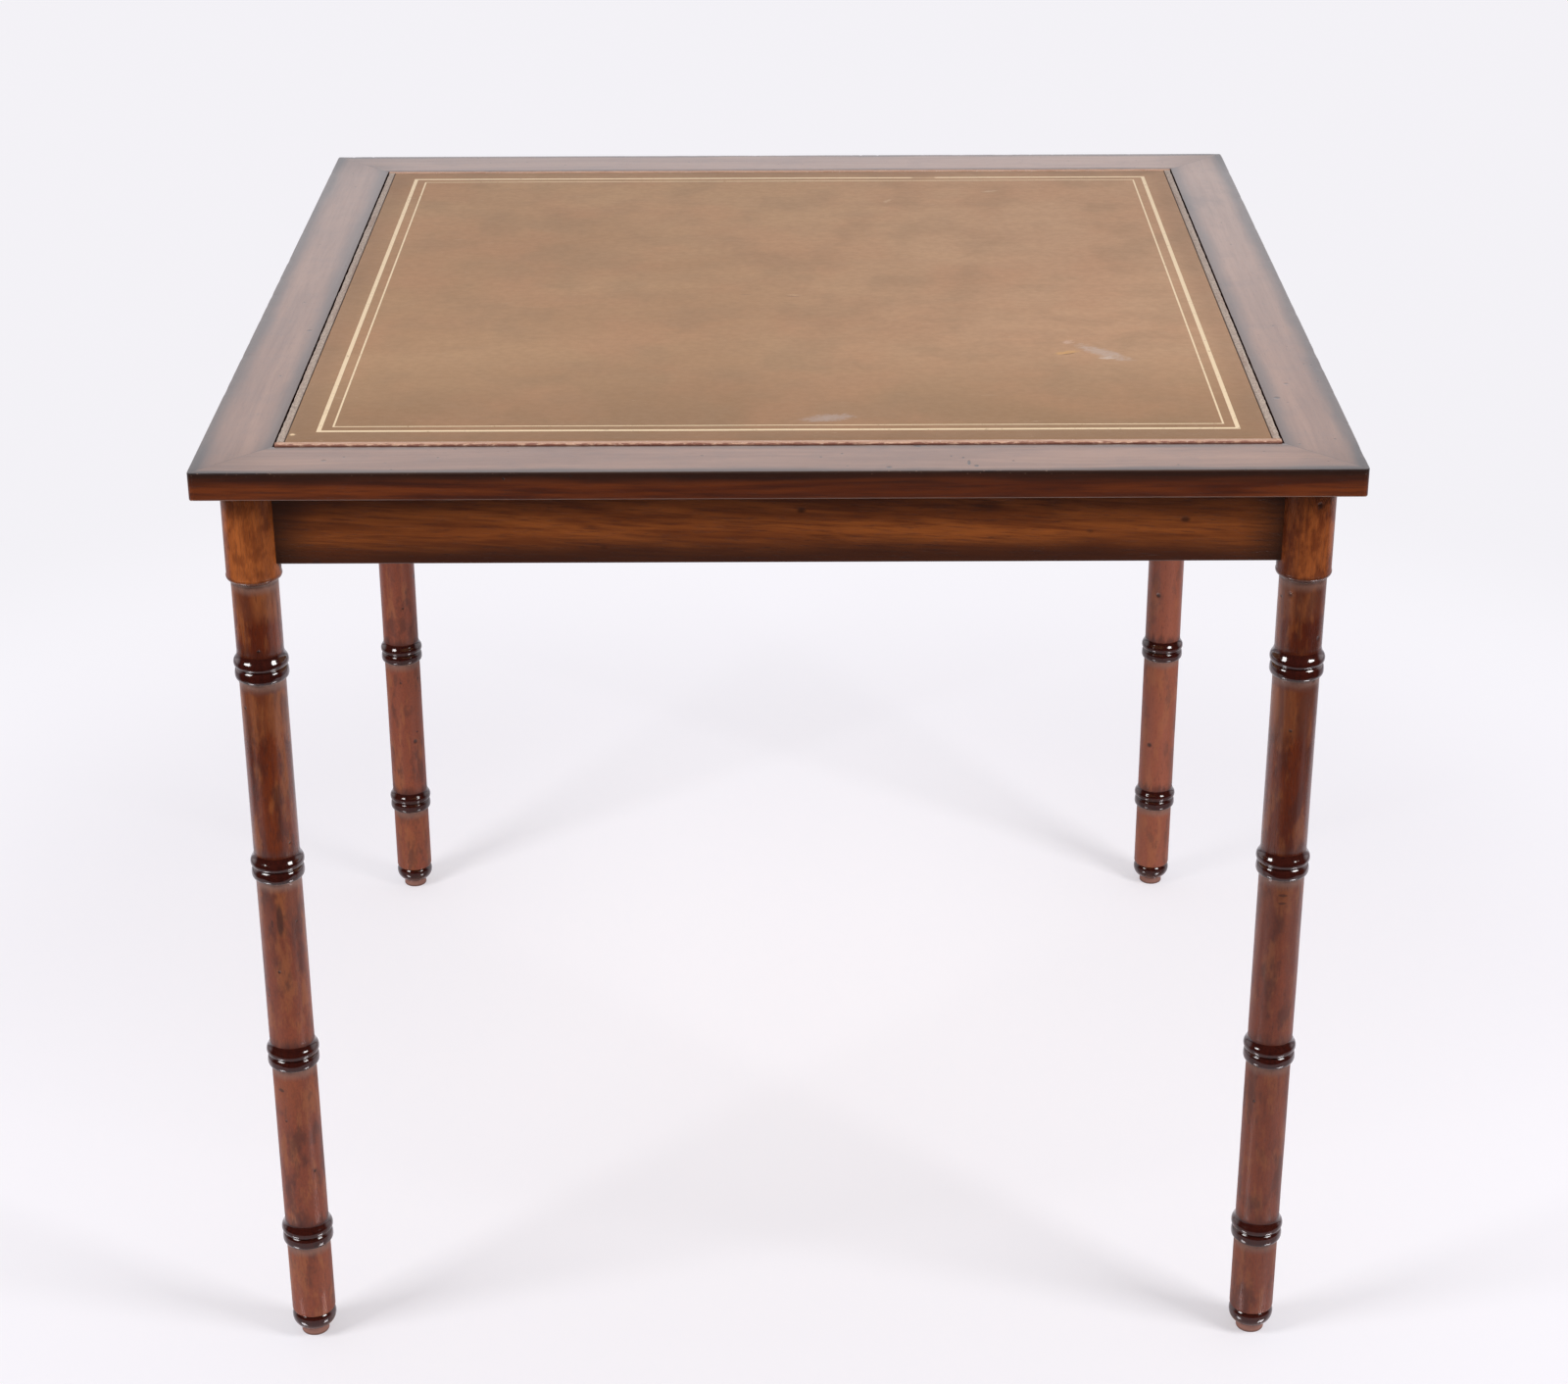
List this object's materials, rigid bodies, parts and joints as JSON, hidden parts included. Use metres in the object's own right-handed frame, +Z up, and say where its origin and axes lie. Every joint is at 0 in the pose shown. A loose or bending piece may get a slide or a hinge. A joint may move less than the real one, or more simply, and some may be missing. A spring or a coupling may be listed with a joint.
{
  "type": "games table",
  "caption": "Square games table on bamboo-turned legs, whose loose leather-topped panel lifts off a backgammon well and has a chessboard on its underside.",
  "frame": {"origin": "on the floor, under the middle of the square top", "axes": "+Z up, -Y to the front, +X to the right seen from the front; the table is the same on all four sides outside"},
  "size_m": [0.8, 0.8, 0.729],
  "materials": {
    "turned_leg_wood": "red-brown stain and glossy varnish, rings nearly black",
    "apron_wood": "golden-brown stain and satin varnish, along the grain",
    "top_frame_wood": "red-brown stain and worn satin varnish",
    "well_lining_wood": "satin varnish",
    "hidden_wood": "bare softwood and plywood",
    "field_veneer": "satin-polished mahogany veneer",
    "light_veneer": "satin-polished pale veneer",
    "dark_veneer": "satin-polished dark veneer",
    "banding_veneer": "satin-polished dark red veneer",
    "lipping_wood": "hardwood, worn varnish",
    "panel_wood": "veneered board, satin",
    "leather": "antiqued tan leather, gold-tooled border",
    "baize": "green wool baize"
  },
  "bodies": {
    "table": {"leg_front_left": "turned_leg_wood", "leg_front_right": "turned_leg_wood", "leg_back_left": "turned_leg_wood", "leg_back_right": "turned_leg_wood", "apron_front": "apron_wood", "top_rail_front": "top_frame_wood", "well_side_front": "well_lining_wood", "apron_back": "apron_wood", "top_rail_back": "top_frame_wood", "well_side_back": "well_lining_wood", "apron_left": "apron_wood", "top_rail_left": "top_frame_wood", "well_side_left": "well_lining_wood", "apron_right": "apron_wood", "top_rail_right": "top_frame_wood", "well_side_right": "well_lining_wood", "mitre_keys": "hidden_wood", "well_floor": "hidden_wood", "centre_bar": "well_lining_wood", "playing_field_left": "field_veneer", "tray_divider_left": "well_lining_wood", "tray_baize_left": "baize", "playing_field_right": "field_veneer", "tray_divider_right": "well_lining_wood", "tray_baize_right": "baize", "light_points": "light_veneer", "dark_points": "dark_veneer"},
    "games_panel": {"lipping_front": "lipping_wood", "lipping_back": "lipping_wood", "lipping_left": "lipping_wood", "lipping_right": "lipping_wood", "panel_core": "panel_wood", "leather_top": "leather", "chess_light_squares": "light_veneer", "chess_dark_squares": "dark_veneer", "chess_stringing": "light_veneer", "chess_banding": "banding_veneer"}
  },
  "joints": [
    {"name": "panel_lift", "type": "slide", "parent": "table", "child": "games_panel", "axis": [0, 0, 1], "range_m": [0, 0.28]}
  ]
}
